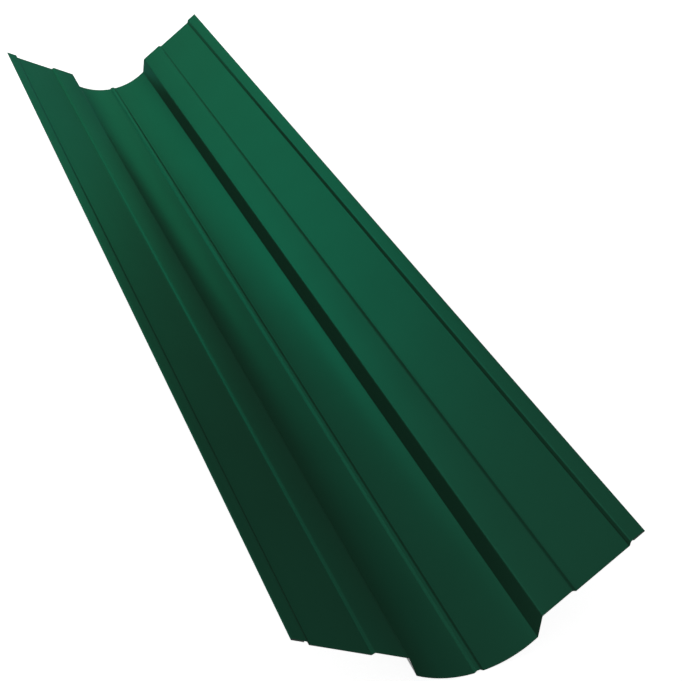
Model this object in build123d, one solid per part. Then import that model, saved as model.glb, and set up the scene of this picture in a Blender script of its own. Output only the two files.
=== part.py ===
from build123d import *
import math
import os

os.makedirs("parts", exist_ok=True)

# Lengths are in millimetres and angles in degrees.
# The section is drawn along the middle of the sheet's thickness.

# Sheet, and the inside radii of the bends that are hollow and of those that stand up
sheet_length = 2000.0
sheet_thickness = 0.5
hollow_inside_radius = 1.25
crest_inside_radius = 2.75

# Trough and the flat-topped bead along its middle
trough_radius = 125.0
trough_half_width = 72.5
bead_half_width = 5.5
bead_top_half_width = 1.9
bead_height = 2.7
bead_inside_radius = 1.75

# Webs between the trough and the flanges
web_height = 27.8
web_lean = 13.1

# Flanges, measured along their slope from the top of the web to the folded edge
flange_pitch = 31.25
flange_width = 146.9
inner_band_width = 43.4
edge_strip_width = 19.6

# Sunk panel between the inner band and the edge strip
panel_depth = 3.75
inner_joggle_angle = 53.0
outer_joggle_angle = 45.0

# Hem folded under the edge strip
hem_gap = 0.8
hem_return = 16.5

# Sizes that follow from the ones above
hollow_radius = hollow_inside_radius + sheet_thickness / 2
crest_radius = crest_inside_radius + sheet_thickness / 2
bead_radius = bead_inside_radius + sheet_thickness / 2
hem_radius = (hem_gap + sheet_thickness) / 2
inner_joggle_run = panel_depth / math.tan(math.radians(inner_joggle_angle))
outer_joggle_run = panel_depth / math.tan(math.radians(outer_joggle_angle))
web_run = web_height * math.tan(math.radians(web_lean))


def on_trough(x):
    """Point of the trough's arc at a distance x from the middle."""
    return Vector(x, trough_radius - math.sqrt(trough_radius**2 - x**2))


web_foot = on_trough(trough_half_width)
web_top = web_foot + Vector(web_run, web_height)
up_slope = Vector(1, 0).rotate(Axis.Z, flange_pitch)
off_slope = Vector(0, 1).rotate(Axis.Z, flange_pitch)


def on_flange(along, above):
    """Point at a distance along the flange from the web, and above its plane."""
    return web_top + up_slope * along + off_slope * above


# Corners of one half of the section, from the bead out to the raw edge of the hem
bead_middle = Vector(0, bead_height)
bead_corner = Vector(bead_top_half_width, bead_height)
bead_foot = on_trough(bead_half_width)
panel_end = flange_width - edge_strip_width
hem_start = flange_width - sheet_thickness / 2 - hem_radius
band_edge = on_flange(inner_band_width, 0)
panel_inner = on_flange(inner_band_width + inner_joggle_run, -panel_depth)
panel_outer = on_flange(panel_end - outer_joggle_run, -panel_depth)
strip_edge = on_flange(panel_end, 0)
hem_top = on_flange(hem_start, 0)
hem_tip = on_flange(hem_start + hem_radius, -hem_radius)
hem_under = on_flange(hem_start, -2 * hem_radius)
raw_edge = on_flange(flange_width - hem_return, -2 * hem_radius)

half_section = Wire(
    [
        Edge.make_line(bead_middle, bead_corner),
        Edge.make_line(bead_corner, bead_foot),
        Edge.make_three_point_arc(
            bead_foot,
            on_trough((bead_half_width + trough_half_width) / 2),
            web_foot,
        ),
        Edge.make_line(web_foot, web_top),
        Edge.make_line(web_top, band_edge),
        Edge.make_line(band_edge, panel_inner),
        Edge.make_line(panel_inner, panel_outer),
        Edge.make_line(panel_outer, strip_edge),
        Edge.make_line(strip_edge, hem_top),
        Edge.make_three_point_arc(hem_top, hem_tip, hem_under),
        Edge.make_line(hem_under, raw_edge),
    ]
)
bends = [
    (bead_radius, [bead_corner]),
    (hollow_radius, [bead_foot, web_foot, panel_inner, panel_outer]),
    (crest_radius, [web_top, band_edge, strip_edge]),
]
for radius, corners in bends:
    half_section = half_section.fillet_2d(radius, [Vertex(*corner) for corner in corners])
other_half = half_section.mirror(Plane.YZ)
section_line = Wire(half_section.edges() + other_half.edges())

# The sheet: the section line given its thickness and drawn out to length
section = trace(section_line, line_width=sheet_thickness)
valley_sheet = extrude(Plane.XZ * section, amount=sheet_length / 2, both=True)

# Set down with its lowest line on the floor
lowest = valley_sheet.bounding_box().min.Z
valley_sheet = Pos(0, 0, -lowest) * valley_sheet
valley_sheet.label = "valley_sheet"

export_step(valley_sheet, "parts/valley_sheet.step")
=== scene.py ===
"""Roof valley flashing: a pressed and painted steel sheet, its finishes and its studio."""
import math
from collections import namedtuple

import bpy
import numpy as np
from bpy.props import FloatProperty, FloatVectorProperty, IntProperty, PointerProperty
from mathutils import Matrix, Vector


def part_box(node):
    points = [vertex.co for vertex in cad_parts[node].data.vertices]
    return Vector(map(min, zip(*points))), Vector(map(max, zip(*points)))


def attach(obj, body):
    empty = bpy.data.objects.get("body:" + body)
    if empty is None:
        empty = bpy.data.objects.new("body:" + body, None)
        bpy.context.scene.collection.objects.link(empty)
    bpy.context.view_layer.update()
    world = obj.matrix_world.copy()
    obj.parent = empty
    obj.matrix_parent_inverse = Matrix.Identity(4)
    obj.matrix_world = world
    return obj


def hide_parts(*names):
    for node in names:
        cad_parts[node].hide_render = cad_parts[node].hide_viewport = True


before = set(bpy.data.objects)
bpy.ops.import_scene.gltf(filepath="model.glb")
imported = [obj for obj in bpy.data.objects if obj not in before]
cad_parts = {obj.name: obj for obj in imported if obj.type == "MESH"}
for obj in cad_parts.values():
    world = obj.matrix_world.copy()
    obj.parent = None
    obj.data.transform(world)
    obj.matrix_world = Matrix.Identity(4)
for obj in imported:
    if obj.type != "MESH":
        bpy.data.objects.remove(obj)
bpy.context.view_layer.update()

NODE = "valley_sheet"
node_low, node_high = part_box(NODE)

# Rough distance in metres from the middle of the sheet to each soft light
SOFTBOX_DISTANCE = 4.0

# Soft lights: name, first and last bearing, lowest and highest elevation in degrees, brightness
SOFTBOXES = (
    ("far_softbox", 5.0, 25.0, 6.0, 20.0, 2.9),
    ("low_softbox", -10.0, 35.0, 6.0, 20.0, 0.65),
    ("far_left_softbox", -25.0, 5.0, 12.0, 30.0, 2.4),
    ("left_softbox", -60.0, -20.0, 20.0, 34.0, 1.0),
    ("far_fill", -45.0, 35.0, 6.0, 56.0, 0.18),
    ("near_softbox", 160.0, 240.0, 0.0, 20.0, 0.33),
)

# Slow waves of the flats: wave lengths in metres down the length and across it, share and phase
WAVES = (
    (0.61, 0.43, 1.0, 0.0),
    (0.37, -0.29, 0.7, 1.3),
    (0.23, 0.51, 0.5, 2.1),
)

# Largest shares of a flat's width that the coat's fade and the ease take at either end
LARGEST_FADE = 0.1
LARGEST_INSET = 0.25

# Arcs in which each half of the trough is drawn
TROUGH_ARCS = 4

# Height in metres of the orange peel, and width in millimetres of the camera's sensor
PEEL_HEIGHT = 0.0001
SENSOR_WIDTH = 36.0

# A bend of the section: its arc, the headings at which the sheet enters and leaves it, its draw and
# that of the run after it, which are painted highlight above nought and painted shade below it, and
# the distances over which the flats before and after it still turn
BEND_FIELDS = "centre radius first last draw run_draw ease_in ease_out"
Bend = namedtuple("Bend", BEND_FIELDS, defaults=(0.0, 0.0, 0.0, 0.0))

bl_info = {
    "name": "Roof Valley Flashing",
    "version": (1, 0, 0),
    "blender": (4, 5, 0),
    "location": "View3D > Sidebar > Valley",
    "description": "Makes a pressed roof valley sheet with its paint, and a studio round it",
    "category": "Object",
}


def length_size(name, description, default):
    """A length in metres that a user can change."""
    return FloatProperty(
        name=name, description=description, default=default, min=0.0, unit="LENGTH", precision=5
    )


def angle_size(name, description, degrees):
    """An angle that a user can change, given in degrees."""
    return FloatProperty(
        name=name, description=description, default=math.radians(degrees), subtype="ANGLE"
    )


def colour(name, description, default):
    """A linear colour that a user can change."""
    return FloatVectorProperty(
        name=name, description=description, default=default, size=3, min=0.0, max=1.0, subtype="COLOR"
    )


def share(name, description, default):
    """A value from 0 to 1 that a user can change."""
    return FloatProperty(
        name=name, description=description, default=default, min=0.0, max=1.0, subtype="FACTOR"
    )


class ValleySizes(bpy.types.PropertyGroup):
    """Sizes of the pressed section, along the middle of the sheet's thickness."""

    thickness: length_size("Thickness", "Thickness of the coated sheet", 0.0005)
    bend_radius: length_size("Bend radius", "Radius of the bends that are hollow from above", 0.0015)
    crest_radius: length_size("Crest radius", "Radius of the bends that stand up", 0.003)
    trough_radius: length_size("Trough radius", "Radius of the round trough", 0.125)
    trough_half_width: length_size("Trough half width", "Middle to the foot of a web", 0.0725)
    bead_half_width: length_size("Bead half width", "Middle to the foot of the bead", 0.0055)
    bead_top_half_width: length_size("Bead top half width", "Middle to a top corner of the bead", 0.0019)
    bead_height: length_size("Bead height", "Bottom of the trough to the bead's top", 0.0027)
    bead_corner_radius: length_size("Bead corner radius", "Rounding of the bead's top corners", 0.002)
    web_height: length_size("Web height", "Rise of the steep webs", 0.0278)
    web_lean: angle_size("Web lean", "Lean of the webs from upright", 13.1)
    flange_pitch: angle_size("Flange pitch", "Slope of the flanges", 31.25)
    flange_width: length_size("Flange width", "Web to folded edge, along the slope", 0.1469)
    inner_band_width: length_size("Inner band", "Width of the band beside the web", 0.0434)
    edge_strip_width: length_size("Edge strip", "Width of the raised strip at the edge", 0.0196)
    panel_depth: length_size("Panel depth", "How far the panel is sunk", 0.00375)
    inner_joggle: angle_size("Inner joggle", "Turn of the bends between band and panel", 53.0)
    outer_joggle: angle_size("Outer joggle", "Turn of the bends between panel and strip", 45.0)
    hem_gap: length_size("Hem gap", "Space inside the folded hem", 0.0008)
    hem_return: length_size("Hem return", "Folded edge to the raw edge under it", 0.0165)
    waviness: length_size("Waviness", "Largest departure of a flat from flat", 0.00012)
    # Coat fade is how far beside a bend the painted highlight or painted shade reaches.
    coat_fade: length_size("Coat fade", "How far beside a bend its coat is changed", 0.0007)
    ease: length_size("Ease", "How far beside a bend a flat still turns", 0.003)
    hem_ease: length_size("Hem ease", "How far before the hem the strip begins to turn", 0.005)
    band_ease: length_size("Band ease", "How far before the panel the band begins to turn", 0.035)
    ease_turn: angle_size("Ease turn", "Turn of a flat's surface next to a bend", 4.0)
    arc_steps: IntProperty(name="Arc steps", description="Steps in each arc", default=8, min=2)
    run_steps: IntProperty(name="Run steps", description="Steps in each flat", default=10, min=6)
    length_steps: IntProperty(name="Length steps", description="Steps in the length", default=80, min=2)


class ValleyFinish(bpy.types.PropertyGroup):
    """Colours and gloss of the coats and of the cut edge, among them the coat's painted highlight and
    painted shade colours.
    """

    green: colour("Green coat", "Top coat of the sheet", (0.0140, 0.1160, 0.0645))
    # The drawn coat is a painted highlight: a lighter green laid on bends and crests.
    highlight_green: colour("Drawn coat", "Top coat where a bend stretches it", (0.0170, 0.1410, 0.0780))
    # The pooled coat is painted shade: a dark green laid in the hollows of the joggles.
    shade_green: colour("Pooled coat", "Top coat where it gathers in a hollow", (0.0060, 0.0300, 0.0160))
    backing: colour("Backing coat", "Grey coat of the underside", (0.33, 0.345, 0.34))
    # The cut edge's dark colour is painted shade, darker than bare sheared metal.
    cut_edge_shade: colour("Cut edge", "Dull dark metal of the cut edges", (0.035, 0.045, 0.040))
    green_roughness: share("Green roughness", "Roughness of the top coat", 0.30)
    flake: share("Flake", "Metallic share of the top coat", 0.38)
    grazing_tint: colour("Grazing tint", "Top coat's reflection at a low angle", (0.10, 0.40, 0.385))
    clear_coat: share("Clear coat", "Weight of the very thin clear coat", 0.005)
    clear_coat_roughness: share("Clear coat roughness", "Roughness of the clear coat", 0.30)
    haze: share("Haze", "Weight of the faint dusty haze", 0.021)
    haze_roughness: share("Haze roughness", "Roughness of the haze", 1.0)
    haze_tint: colour("Haze tint", "Colour of the haze", (1.0, 0.5, 0.5))
    backing_roughness: share("Backing roughness", "Roughness of the backing coat", 0.5)
    cut_edge_roughness: share("Cut edge roughness", "Roughness of the cut edges", 0.45)


class ValleyStudio(bpy.types.PropertyGroup):
    """Camera, floor and lights."""

    camera_place: FloatVectorProperty(
        name="Camera place",
        description="Where the camera stands",
        default=(-0.4536, -2.2015, 1.2041),
        size=3,
        subtype="TRANSLATION",
        unit="LENGTH",
    )
    camera_turn: angle_size("Camera turn", "Turn to the right of the valley's length", 15.748)
    camera_tilt: angle_size("Camera tilt", "Tilt below the horizon", 30.699)
    camera_roll: angle_size("Camera roll", "Roll of the picture", -6.486)
    camera_lens: FloatProperty(
        name="Lens", description="Focal length", default=81.70, unit="CAMERA", min=1.0
    )
    floor_half_width: length_size("Floor", "Middle of the floor to its edge", 200.0)
    floor_tone: share("Floor tone", "How much light the floor gives back", 0.8)
    floor_white: share("Floor white", "White added where the floor is seen", 0.85)
    room_tone: share("Room tone", "Even light from all round", 0.25)


def left_of(heading):
    """Unit vectors to the left of a heading: minus its sine across and its cosine up."""
    return np.stack([-np.sin(heading), np.cos(heading)], axis=-1)


def corner_centre(corner, first, last, radius):
    """Centre of the arc that rounds the corner between two straight runs.

    It lies along the sum of the two left normals, on the inner side of the turn, at the radius
    divided by one plus the cosine of the turn.
    """
    normals = left_of(first) + left_of(last)
    return corner + np.sign(last - first) * radius * normals / (1 + math.cos(last - first))


def section_bends(size):
    """Bends of the right half of the section, from the bead to the hem, and the hem's raw edge.

    Each bend is an arc, and straight runs join one arc to the next. Draw is painted light on the coat:
    1 is a full painted highlight and -1 a full painted shade. A bend between the trough and a straight
    run touches the trough's circle from inside, so its centre is the trough radius less its own radius
    from the trough's centre, and its own radius from the run.
    """
    radius = size.bend_radius
    trough = size.trough_radius
    pitch = size.flange_pitch
    web = math.pi / 2 - size.web_lean
    trough_centre = np.array([0.0, trough])
    inner = trough - radius

    def on_trough(across):
        return np.array([across, trough - math.sqrt(trough**2 - across**2)])

    def touch(corner, heading):
        reach = (trough_centre - corner) @ left_of(heading)
        return math.acos((reach - radius) / inner)

    bead_corner = np.array([size.bead_top_half_width, size.bead_height])
    bead_foot = on_trough(size.bead_half_width)
    flank = math.atan2(*(bead_foot - bead_corner)[::-1])
    web_foot = on_trough(size.trough_half_width)
    web_top = web_foot + size.web_height * np.array([math.tan(size.web_lean), 1.0])
    up_slope = np.array([math.cos(pitch), math.sin(pitch)])

    def on_flange(along, above):
        return web_top + along * up_slope + above * left_of(pitch)

    trough_first = flank + touch(bead_foot, flank)
    trough_last = web - touch(web_foot, web)
    inner_run = size.panel_depth / math.tan(size.inner_joggle)
    outer_run = size.panel_depth / math.tan(size.outer_joggle)
    panel_end = size.flange_width - size.edge_strip_width
    hem_radius = (size.hem_gap + size.thickness) / 2
    hem_start = size.flange_width - size.thickness / 2 - hem_radius
    down = pitch - size.inner_joggle
    up = pitch + size.outer_joggle

    ease = size.ease
    bead_round = size.bead_corner_radius
    bead_centre = corner_centre(bead_corner, 0.0, flank, bead_round)
    bead_foot_centre = trough_centre - inner * left_of(trough_first)
    web_foot_centre = trough_centre - inner * left_of(trough_last)
    bends = [
        # The bead's top corner and its flank get a painted highlight.
        Bend(bead_centre, bead_round, 0.0, flank, draw=0.6, run_draw=0.6),
        Bend(bead_foot_centre, radius, flank, trough_first),
    ]
    turns = np.linspace(trough_first, trough_last, TROUGH_ARCS + 1)
    for first, last in zip(turns[:-1], turns[1:]):
        bends.append(Bend(trough_centre, trough, first, last))
    # The foot of the web gets a painted highlight.
    bends.append(Bend(web_foot_centre, radius, trough_last, web, draw=0.4))
    crest = size.crest_radius
    band_edge = on_flange(size.inner_band_width, 0)
    panel_inner = on_flange(size.inner_band_width + inner_run, -size.panel_depth)
    panel_outer = on_flange(panel_end - outer_run, -size.panel_depth)
    strip_edge = on_flange(panel_end, 0)
    # The crests at the web top and at the strip edge get a painted highlight, as does the face of the
    # outer joggle. The hollows of both joggles get painted shade.
    for corner, rounding, first, last, draw, run_draw, ease_in in (
        (web_top, crest, web, pitch, 0.3, 0.0, 0.0),
        (band_edge, crest, pitch, down, 0.0, 0.0, size.band_ease),
        (panel_inner, radius, down, pitch, -0.25, 0.0, 0.0),
        (panel_outer, radius, pitch, up, -0.7, 0.4, ease),
        (strip_edge, crest, up, pitch, 0.3, 0.0, 0.0),
    ):
        centre = corner_centre(corner, first, last, rounding)
        bends.append(Bend(centre, rounding, first, last, draw, run_draw, ease_in, ease))
    hem_centre = on_flange(hem_start, -hem_radius)
    fold = pitch - math.pi / 2
    # The folded hem gets a painted highlight.
    bends.append(Bend(hem_centre, hem_radius, pitch, fold, draw=0.6, ease_in=size.hem_ease))
    bends.append(Bend(hem_centre, hem_radius, fold, pitch - math.pi, draw=0.6))
    raw_edge = on_flange(size.flange_width - size.hem_return, -2 * hem_radius)
    return bends, raw_edge


def section_line(size):
    """Middle line of the whole section: points, headings, developed distance, draw (painted light) and
    slack.

    Along an arc the heading runs evenly from its first to its last value, and a point is the centre
    less the turn's sign times the radius times the left normal. Each arc is followed by its straight
    run, and the left half is the right half mirrored. A run's draw, which is painted highlight or
    painted shade on the coat, is its own, and goes over to the bends' draw within the coat's fade at
    either end. Next to a bend the surface keeps a little of the bend's turn, which falls to nought over
    the bend's ease. Slack is a squared sine over each flat, scaled by the flat's width.
    """
    bends, raw_edge = section_bends(size)
    values = {name: np.array([getattr(bend, name) for bend in bends])[:, None] for name in Bend._fields}
    first, last = values["first"], values["last"]
    ease_in, ease_out = values["ease_in"], values["ease_out"]
    lean = np.sign(last - first) * size.ease_turn
    tiny = size.thickness / 1000

    part = np.linspace(0.0, 1.0, size.arc_steps + 1)
    heading = first + (last - first) * part
    arc_reach = np.sign(last - first) * values["radius"]
    arc = values["centre"] - arc_reach[..., None] * left_of(heading)
    heading = heading + lean * ((1 - part) * (ease_in > 0) - part * (ease_out > 0))

    run_from = arc[:, -1]
    run_to = np.vstack([arc[1:, 0], raw_edge])
    run_width = np.linalg.norm(run_to - run_from, axis=1)[:, None]
    divisor = np.maximum(run_width, tiny)
    fade = np.minimum(size.coat_fade / divisor, LARGEST_FADE)
    inset = np.minimum(size.ease / divisor, LARGEST_INSET)
    step = inset + (1 - 2 * inset) * np.linspace(0.0, 1.0, size.run_steps - 3)
    step = np.concatenate([fade, step, 1 - fade], axis=1)
    run = run_from[:, None, :] + (run_to - run_from)[:, None, :] * step[..., None]
    run_slack = np.sin(np.pi * step) ** 2 * (run_width / run_width.max()) ** 2
    next_lean = np.vstack([lean[1:], [[0.0]]])
    next_ease = np.vstack([ease_in[1:], [[0.0]]])
    run_heading = last - lean * np.maximum(1 - step * run_width / np.maximum(ease_out, tiny), 0.0)
    run_heading += next_lean * np.maximum(1 - (1 - step) * run_width / np.maximum(next_ease, tiny), 0.0)

    points = np.concatenate([arc, run], axis=1).reshape(-1, 2)
    headings = np.concatenate([heading, run_heading], axis=1).ravel()
    arc_painted_light = np.broadcast_to(values["draw"], heading.shape)
    run_draw = np.broadcast_to(values["run_draw"], step.shape)
    painted_light_levels = np.concatenate([arc_painted_light, run_draw], axis=1).ravel()
    slack = np.concatenate([np.zeros(heading.shape), run_slack], axis=1).ravel()
    points = np.vstack([points, raw_edge])
    headings = np.append(headings, last[-1])
    painted_light_levels = np.append(painted_light_levels, 0.0)
    slack = np.append(slack, 0.0)

    gap = np.linalg.norm(np.diff(points, axis=0), axis=1)
    kept = np.append(True, gap > tiny)
    points, headings, painted_light_levels, slack = points[kept], headings[kept], painted_light_levels[kept], slack[kept]
    points = np.vstack([points[::-1] * (-1, 1), points])
    headings = np.append(-headings[::-1], headings)
    painted_light_levels = np.append(painted_light_levels[::-1], painted_light_levels)
    slack = np.append(slack[::-1], slack)
    developed = np.append(0.0, np.cumsum(np.linalg.norm(np.diff(points, axis=0), axis=1)))
    return points, headings, developed, painted_light_levels, slack


def flat_waves(developed, along, slack, waviness):
    """Departure of the flats from flat, which is nought at bends and edges.

    It is the mean of slow sine waves down the length, weighed by their shares and each shifted in
    phase by the place across the sheet, times the waviness and the slack there.
    """
    across = 2 * np.pi * developed[None, :]
    length = 2 * np.pi * along[:, None]
    total = np.zeros((len(along), len(developed)))
    for down, sideways, part, phase in WAVES:
        total += part * np.sin(length / down + across / sideways + phase)
    whole = sum(part for _, _, part, _ in WAVES)
    return waviness * total / whole * slack[None, :]


def grid_faces(rows, columns, start, flip):
    """Quads of a grid of points, row by row. Flipped quads are wound the other way round."""
    row, column = np.meshgrid(np.arange(rows - 1), np.arange(columns - 1), indexing="ij")
    corner = start + row * columns + column
    quads = np.stack([corner, corner + 1, corner + columns + 1, corner + columns], axis=-1)
    quads = quads.reshape(-1, 4)
    return quads[:, ::-1] if flip else quads


def strip_faces(upper, lower):
    """Quads between two equal rows of points."""
    return np.stack([upper[:-1], lower[:-1], lower[1:], upper[1:]], axis=-1)


def sheet_arrays(size):
    """Points, quads, corner normals, flat places, draw (painted light) and coat of the closed sheet.

    The section's middle line is carried along the length. The upper and lower faces are that surface
    moved half a thickness to the left and right of the heading, and strips of quads close the raw
    edges and the two cut ends. The flat place of a point is its developed distance and its length.
    """
    line, heading, developed, painted_light_levels, slack = section_line(size)
    along = np.linspace(node_low.y, node_high.y, size.length_steps + 1)
    rows, columns = len(along), len(developed)
    normal = left_of(heading)

    waves = flat_waves(developed, along, slack, size.waviness)
    slope_across = np.gradient(waves, developed, axis=1)
    slope_along = np.gradient(waves, along, axis=0)
    forward = np.stack([np.cos(heading), np.sin(heading)], axis=-1)

    def surface(offset):
        lift = (waves + offset)[..., None]
        flat = line[None, :, :] + lift * normal[None, :, :]
        depth = np.broadcast_to(along[:, None], waves.shape)
        return np.stack([flat[..., 0], depth, flat[..., 1]], axis=-1)

    upper = surface(size.thickness / 2).reshape(-1, 3)
    lower = surface(-size.thickness / 2).reshape(-1, 3)
    points = np.vstack([upper, lower])
    points[:, 2] += node_low.z - points[:, 2].min()

    tilted = normal[None] - slope_across[..., None] * forward[None]
    upper_normal = np.stack([tilted[..., 0], -slope_along, tilted[..., 1]], axis=-1)
    upper_normal /= np.linalg.norm(upper_normal, axis=-1, keepdims=True)
    upper_normal = upper_normal.reshape(-1, 3)

    under = rows * columns
    left_edge = np.arange(rows) * columns
    right_edge = left_edge + columns - 1
    near_end = np.arange(columns)
    far_end = near_end + (rows - 1) * columns
    left_out = np.array([-forward[0, 0], 0.0, -forward[0, 1]])
    right_out = np.array([forward[-1, 0], 0.0, forward[-1, 1]])
    top_faces = grid_faces(rows, columns, 0, False)
    under_faces = grid_faces(rows, columns, under, True)
    edges = (
        (strip_faces(left_edge, left_edge + under)[:, ::-1], left_out),
        (strip_faces(right_edge, right_edge + under), right_out),
        (strip_faces(near_end, near_end + under), np.array([0.0, -1.0, 0.0])),
        (strip_faces(far_end, far_end + under)[:, ::-1], np.array([0.0, 1.0, 0.0])),
    )
    edge_faces = np.vstack([faces for faces, _ in edges])
    edge_normals = np.vstack([np.tile(out, (faces.size, 1)) for faces, out in edges])

    quads = np.vstack([top_faces, under_faces, edge_faces])
    normals = np.vstack(
        [upper_normal[top_faces.ravel()], -upper_normal[under_faces.ravel() - under], edge_normals]
    )
    coat = np.repeat([0, 1, 2], [len(top_faces), len(under_faces), len(edge_faces)])
    place = np.stack(np.meshgrid(developed, along), axis=-1).reshape(-1, 2)
    place = np.vstack([place, place + (0.0, size.thickness)])
    painted_light = np.tile(np.broadcast_to(painted_light_levels, (rows, columns)).ravel(), 2)
    return points, quads, normals, place, painted_light, coat


def make_sheet_mesh(name, size):
    """The closed sheet as one mesh, with its flat places as a UV map and its draw, the painted highlight
    and shade of the coat, as an attribute.
    """
    points, quads, normals, place, painted_light, coat = sheet_arrays(size)
    mesh = bpy.data.meshes.new(name)
    mesh.vertices.add(len(points))
    mesh.vertices.foreach_set("co", points.ravel())
    mesh.loops.add(quads.size)
    mesh.loops.foreach_set("vertex_index", quads.ravel())
    mesh.polygons.add(len(quads))
    mesh.polygons.foreach_set("loop_start", np.arange(0, quads.size, 4))
    mesh.polygons.foreach_set("material_index", coat)
    mesh.update(calc_edges=True)
    flat_map = mesh.uv_layers.new(name="flat_sheet")
    flat_map.uv.foreach_set("vector", place[quads.ravel()].ravel())
    # The draw attribute carries the painted highlight and painted shade of the coat.
    draw = mesh.attributes.new("draw", "FLOAT", "POINT")
    draw.data.foreach_set("value", painted_light)
    mesh.polygons.foreach_set("use_smooth", np.ones(len(quads), dtype=bool))
    mesh.normals_split_custom_set(normals)
    if mesh.validate():
        raise RuntimeError("the sheet's mesh has bad faces")
    return mesh


class NodeTree:
    """Short calls for adding and joining nodes in one node tree."""

    def __init__(self, tree):
        self.tree = tree

    def add(self, kind, values=None, **settings):
        """A new node with settings and with input values by socket name."""
        node = self.tree.nodes.new(kind)
        for key, value in settings.items():
            setattr(node, key, value)
        for key, value in (values or {}).items():
            node.inputs[key].default_value = value
        return node

    def join(self, source, target):
        """A link from an output socket to an input socket."""
        self.tree.links.new(source, target)

    def math(self, operation, first, second):
        """The result of an operation on two values, where each is a socket or a number."""
        node = self.add("ShaderNodeMath", operation=operation)
        for socket, value in zip(node.inputs, (first, second)):
            if isinstance(value, (int, float)):
                socket.default_value = value
            else:
                self.join(value, socket)
        return node.outputs[0]


def make_coat_grain():
    """Node group of a roller-coated sheet: tone, gloss and height over the flat sheet.

    Tone is slow mottling plus fine speckle about one, gloss is streaks down the length about nought,
    and height is the fine orange peel of a baked coat.
    """
    group = bpy.data.node_groups.new("coil_coat_grain", "ShaderNodeTree")
    nodes = NodeTree(group)
    sockets = (
        ("Flat place", "INPUT", "NodeSocketVector"),
        ("Mottle", "INPUT", "NodeSocketFloat"),
        ("Streak", "INPUT", "NodeSocketFloat"),
        ("Tone", "OUTPUT", "NodeSocketFloat"),
        ("Gloss", "OUTPUT", "NodeSocketFloat"),
        ("Height", "OUTPUT", "NodeSocketFloat"),
    )
    for name, side, kind in sockets:
        group.interface.new_socket(name, in_out=side, socket_type=kind)
    given = nodes.add("NodeGroupInput")
    wanted = nodes.add("NodeGroupOutput")
    place = given.outputs["Flat place"]

    def noise(scale, detail, stretch=None):
        texture = nodes.add("ShaderNodeTexNoise", {"Scale": scale, "Detail": detail})
        if stretch:
            mapping = nodes.add("ShaderNodeMapping", {"Scale": stretch})
            nodes.join(place, mapping.inputs["Vector"])
            nodes.join(mapping.outputs["Vector"], texture.inputs["Vector"])
        else:
            nodes.join(place, texture.inputs["Vector"])
        return nodes.math("SUBTRACT", texture.outputs[0], 0.5)

    mottle = noise(scale=9.0, detail=3.0)
    speckle = noise(scale=900.0, detail=2.0)
    streaks = noise(scale=1.0, detail=4.0, stretch=(240.0, 1.6, 1.0))
    peel = noise(scale=420.0, detail=2.0)
    spread = nodes.math("ADD", mottle, nodes.math("MULTIPLY", speckle, 0.5))
    tone = nodes.math("ADD", nodes.math("MULTIPLY", spread, given.outputs["Mottle"]), 1.0)
    gloss = nodes.math("MULTIPLY", streaks, given.outputs["Streak"])
    nodes.join(tone, wanted.inputs["Tone"])
    nodes.join(gloss, wanted.inputs["Gloss"])
    nodes.join(peel, wanted.inputs["Height"])
    return group


def empty_material(name):
    """A node material with no nodes yet, and the calls for adding them."""
    material = bpy.data.materials.new(name)
    material.use_nodes = True
    material.node_tree.nodes.clear()
    return material, NodeTree(material.node_tree)


def new_material(name):
    """A node material with one shader on its output, and the calls for its nodes."""
    material, nodes = empty_material(name)
    shader = nodes.add("ShaderNodeBsdfPrincipled")
    output = nodes.add("ShaderNodeOutputMaterial")
    nodes.join(shader.outputs["BSDF"], output.inputs["Surface"])
    return material, nodes, shader


def coat_nodes(nodes, shader, grain, colour_socket, roughness, mottle, streak, peel):
    """Puts the coat's grain on a shader: tone on its colour, streaks on its roughness, peel as bump."""
    flat = nodes.add("ShaderNodeUVMap", uv_map="flat_sheet")
    texture = nodes.add("ShaderNodeGroup", node_tree=grain)
    texture.inputs["Mottle"].default_value = mottle
    texture.inputs["Streak"].default_value = streak
    nodes.join(flat.outputs["UV"], texture.inputs["Flat place"])
    toned = nodes.add("ShaderNodeVectorMath", operation="SCALE")
    nodes.join(colour_socket, toned.inputs[0])
    nodes.join(texture.outputs["Tone"], toned.inputs["Scale"])
    nodes.join(toned.outputs["Vector"], shader.inputs["Base Color"])
    nodes.join(nodes.math("ADD", texture.outputs["Gloss"], roughness), shader.inputs["Roughness"])
    bump = nodes.add("ShaderNodeBump", {"Strength": peel, "Distance": PEEL_HEIGHT})
    nodes.join(texture.outputs["Height"], bump.inputs["Height"])
    nodes.join(bump.outputs["Normal"], shader.inputs["Normal"])


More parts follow.
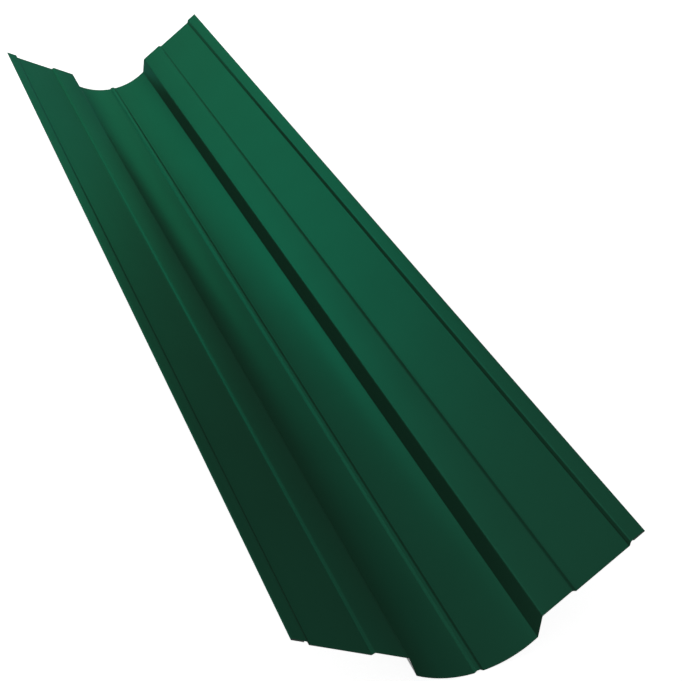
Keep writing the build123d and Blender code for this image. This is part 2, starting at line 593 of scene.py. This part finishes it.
def make_green_coat(grain, finish):
    """Satin green top coat, with a painted highlight on bends and painted shade in the hollows of the
    joggles.
    """
    material, nodes, shader = new_material("satin_green_coat")
    shader.inputs["Metallic"].default_value = finish.flake
    shader.inputs["Specular IOR Level"].default_value = 0.0
    shader.inputs["Specular Tint"].default_value = (*finish.grazing_tint, 1.0)
    shader.inputs["Coat Weight"].default_value = finish.clear_coat
    shader.inputs["Coat Roughness"].default_value = finish.clear_coat_roughness
    shader.inputs["Sheen Weight"].default_value = finish.haze
    shader.inputs["Sheen Roughness"].default_value = finish.haze_roughness
    shader.inputs["Sheen Tint"].default_value = (*finish.haze_tint, 1.0)
    # The draw attribute paints light on the coat: above nought it mixes in the highlight green, below
    # nought the shade green.
    draw = nodes.add("ShaderNodeAttribute", attribute_name="draw")
    painted_light = nodes.add("ShaderNodeMix", data_type="RGBA")
    painted_light.inputs["A"].default_value = (*finish.green, 1.0)
    painted_light.inputs["B"].default_value = (*finish.highlight_green, 1.0)
    nodes.join(draw.outputs["Fac"], painted_light.inputs["Factor"])
    # Painted shade: a dark green mixed in where draw is below nought.
    painted_shade = nodes.add("ShaderNodeMix", data_type="RGBA")
    nodes.join(painted_light.outputs["Result"], painted_shade.inputs["A"])
    painted_shade.inputs["B"].default_value = (*finish.shade_green, 1.0)
    nodes.join(nodes.math("MULTIPLY", draw.outputs["Fac"], -1.0), painted_shade.inputs["Factor"])
    colours = painted_shade.outputs["Result"]
    roughness = finish.green_roughness
    coat_nodes(nodes, shader, grain, colours, roughness, mottle=0.10, streak=0.06, peel=0.12)
    return material


def make_backing_coat(grain, finish):
    """Thin grey backing coat of the underside and of the inside of the hems."""
    material, nodes, shader = new_material("grey_backing_coat")
    shader.inputs["Specular IOR Level"].default_value = 0.3
    plain = nodes.add("ShaderNodeRGB")
    plain.outputs[0].default_value = (*finish.backing, 1.0)
    roughness = finish.backing_roughness
    coat_nodes(nodes, shader, grain, plain.outputs[0], roughness, mottle=0.14, streak=0.10, peel=0.2)
    return material


def make_cut_edge(finish):
    """Sheared edge: metal painted dark as shade, with fine marks over it."""
    darkest = 0.6
    rough_spread = 0.2
    material, nodes, shader = new_material("sheared_edge")
    shader.inputs["Metallic"].default_value = 0.9
    place = nodes.add("ShaderNodeTexCoord")
    marks = nodes.add("ShaderNodeTexNoise", {"Scale": 1500.0, "Detail": 3.0})
    nodes.join(place.outputs["Object"], marks.inputs["Vector"])
    # The edge's dark colour is painted shade; the fine marks vary it at random.
    shade = nodes.add("ShaderNodeMix", data_type="RGBA")
    shade.inputs["A"].default_value = (*(darkest * value for value in finish.cut_edge_shade), 1.0)
    shade.inputs["B"].default_value = (*finish.cut_edge_shade, 1.0)
    nodes.join(marks.outputs[0], shade.inputs["Factor"])
    nodes.join(shade.outputs["Result"], shader.inputs["Base Color"])
    rough = nodes.math("MULTIPLY", marks.outputs[0], rough_spread)
    rough = nodes.math("ADD", rough, finish.cut_edge_roughness - rough_spread / 2)
    nodes.join(rough, shader.inputs["Roughness"])
    return material


def add_object(name, data):
    """A new object in the scene, at the origin."""
    new_object = bpy.data.objects.new(name, data)
    bpy.context.scene.collection.objects.link(new_object)
    return new_object


class VALLEY_OT_sheet(bpy.types.Operator):
    """Make the pressed sheet with its green coat, grey backing and bare cut edges"""

    bl_idname = "valley.sheet"
    bl_label = "Make Valley Sheet"

    def execute(self, context):
        scene = context.scene
        mesh = make_sheet_mesh("pressed_valley_sheet", scene.valley_sizes)
        grain = make_coat_grain()
        finish = scene.valley_finish
        mesh.materials.append(make_green_coat(grain, finish))
        mesh.materials.append(make_backing_coat(grain, finish))
        mesh.materials.append(make_cut_edge(finish))
        sheet = add_object("pressed_valley_sheet", mesh)
        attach(sheet, "root")
        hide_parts(NODE)
        return {"FINISHED"}


def make_floor(studio):
    """Pale level floor, white where it is seen, which keeps the sheet's shadow."""
    half = studio.floor_half_width
    mesh = bpy.data.meshes.new("studio_floor")
    corners = [(-half, -half, 0), (half, -half, 0), (half, half, 0), (-half, half, 0)]
    mesh.from_pydata(corners, [], [(0, 1, 2, 3)])
    mesh.transform(Matrix.Translation((0.0, 0.0, node_low.z)))
    floor = add_object("studio_floor", mesh)

    material, nodes = empty_material("pale_floor")
    tone = studio.floor_tone
    matt = nodes.add("ShaderNodeBsdfDiffuse", {"Color": (tone, tone, tone, 1.0)})
    glow = nodes.add("ShaderNodeEmission", {"Color": (1.0, 1.0, 1.0, 1.0)})
    rays = nodes.add("ShaderNodeLightPath")
    seen = nodes.math("MAXIMUM", rays.outputs["Is Camera Ray"], rays.outputs["Is Glossy Ray"])
    seen = nodes.math("MAXIMUM", seen, rays.outputs["Is Transmission Ray"])
    nodes.join(nodes.math("MULTIPLY", seen, studio.floor_white), glow.inputs["Strength"])
    both = nodes.add("ShaderNodeAddShader")
    nodes.join(matt.outputs[0], both.inputs[0])
    nodes.join(glow.outputs[0], both.inputs[1])
    output = nodes.add("ShaderNodeOutputMaterial")
    nodes.join(both.outputs[0], output.inputs["Surface"])
    mesh.materials.append(material)


def make_softbox(name, first, last, low, high, brightness):
    """An upright soft light round the sheet, from one bearing to another and between two elevations.

    Bearings turn to the right from the valley's far end, and all angles are in degrees at the middle
    of the sheet. Brightness is the light's own white level, and its power is that level times pi
    times its area.
    """
    bearing = math.radians((first + last) / 2)
    half = math.radians((last - first) / 2)
    bottom = SOFTBOX_DISTANCE * math.tan(math.radians(low))
    top = SOFTBOX_DISTANCE * math.tan(math.radians(high))
    distance = SOFTBOX_DISTANCE * (1 + math.cos(half)) / 2
    light = bpy.data.lights.new(name, "AREA")
    light.shape = "RECTANGLE"
    light.size = 2 * SOFTBOX_DISTANCE * math.sin(half)
    light.size_y = top - bottom
    light.energy = brightness * math.pi * light.size * light.size_y
    lamp = add_object(name, light)
    place = Matrix.Translation((0.0, distance, (bottom + top) / 2))
    face_middle = Matrix.Rotation(-math.pi / 2, 4, "X")
    lamp.matrix_world = Matrix.Rotation(-bearing, 4, "Z") @ place @ face_middle
    lamp.visible_camera = False


def make_camera(studio):
    """Camera at the picture's place: turned about the upright, tilted down, then rolled."""
    camera = bpy.data.cameras.new("valley_camera")
    camera.sensor_width = SENSOR_WIDTH
    camera.sensor_fit = "HORIZONTAL"
    camera.lens = studio.camera_lens
    camera.clip_end = 4 * studio.floor_half_width
    viewer = add_object("valley_camera", camera)
    turn = Matrix.Rotation(-studio.camera_turn, 4, "Z")
    tilt = Matrix.Rotation(math.pi / 2 - studio.camera_tilt, 4, "X")
    roll = Matrix.Rotation(studio.camera_roll, 4, "Z")
    viewer.matrix_world = Matrix.Translation(studio.camera_place) @ turn @ tilt @ roll
    bpy.context.scene.camera = viewer


def make_room(studio):
    """Even grey light from all round."""
    world = bpy.data.worlds.new("studio_room")
    world.use_nodes = True
    tone = studio.room_tone
    world.node_tree.nodes["Background"].inputs["Color"].default_value = (tone, tone, tone, 1.0)
    bpy.context.scene.world = world


class VALLEY_OT_stage(bpy.types.Operator):
    """Make the pale floor, the soft lights and the camera"""

    bl_idname = "valley.stage"
    bl_label = "Make Studio"

    def execute(self, context):
        studio = context.scene.valley_studio
        make_floor(studio)
        make_room(studio)
        for softbox in SOFTBOXES:
            make_softbox(*softbox)
        make_camera(studio)
        context.scene.view_settings.view_transform = "Standard"
        return {"FINISHED"}


class VALLEY_PT_sidebar(bpy.types.Panel):
    """Sidebar panel that lists the valley's steps and values"""

    bl_label = "Roof Valley"
    bl_idname = "VALLEY_PT_sidebar"
    bl_space_type = "VIEW_3D"
    bl_region_type = "UI"
    bl_category = "Valley"

    def draw(self, context):
        layout = self.layout
        for step in STEPS:
            layout.operator(step.bl_idname)
        for group_name in GROUPS:
            group = getattr(context.scene, group_name)
            box = layout.box()
            for value_name in group.__annotations__:
                box.prop(group, value_name)


STEPS = (VALLEY_OT_sheet, VALLEY_OT_stage)
GROUPS = {"valley_sizes": ValleySizes, "valley_finish": ValleyFinish, "valley_studio": ValleyStudio}


def register():
    """Registers the classes and hangs the values on the scene."""
    for group_name, group in GROUPS.items():
        bpy.utils.register_class(group)
        setattr(bpy.types.Scene, group_name, PointerProperty(type=group))
    for kind in (*STEPS, VALLEY_PT_sidebar):
        bpy.utils.register_class(kind)


def unregister():
    """Takes the classes and the values away again."""
    for kind in (VALLEY_PT_sidebar, *reversed(STEPS)):
        bpy.utils.unregister_class(kind)
    for group_name, group in GROUPS.items():
        delattr(bpy.types.Scene, group_name)
        bpy.utils.unregister_class(group)


def main():
    register()
    bpy.ops.valley.sheet()
    bpy.ops.valley.stage()


if __name__ == "__main__":
    main()
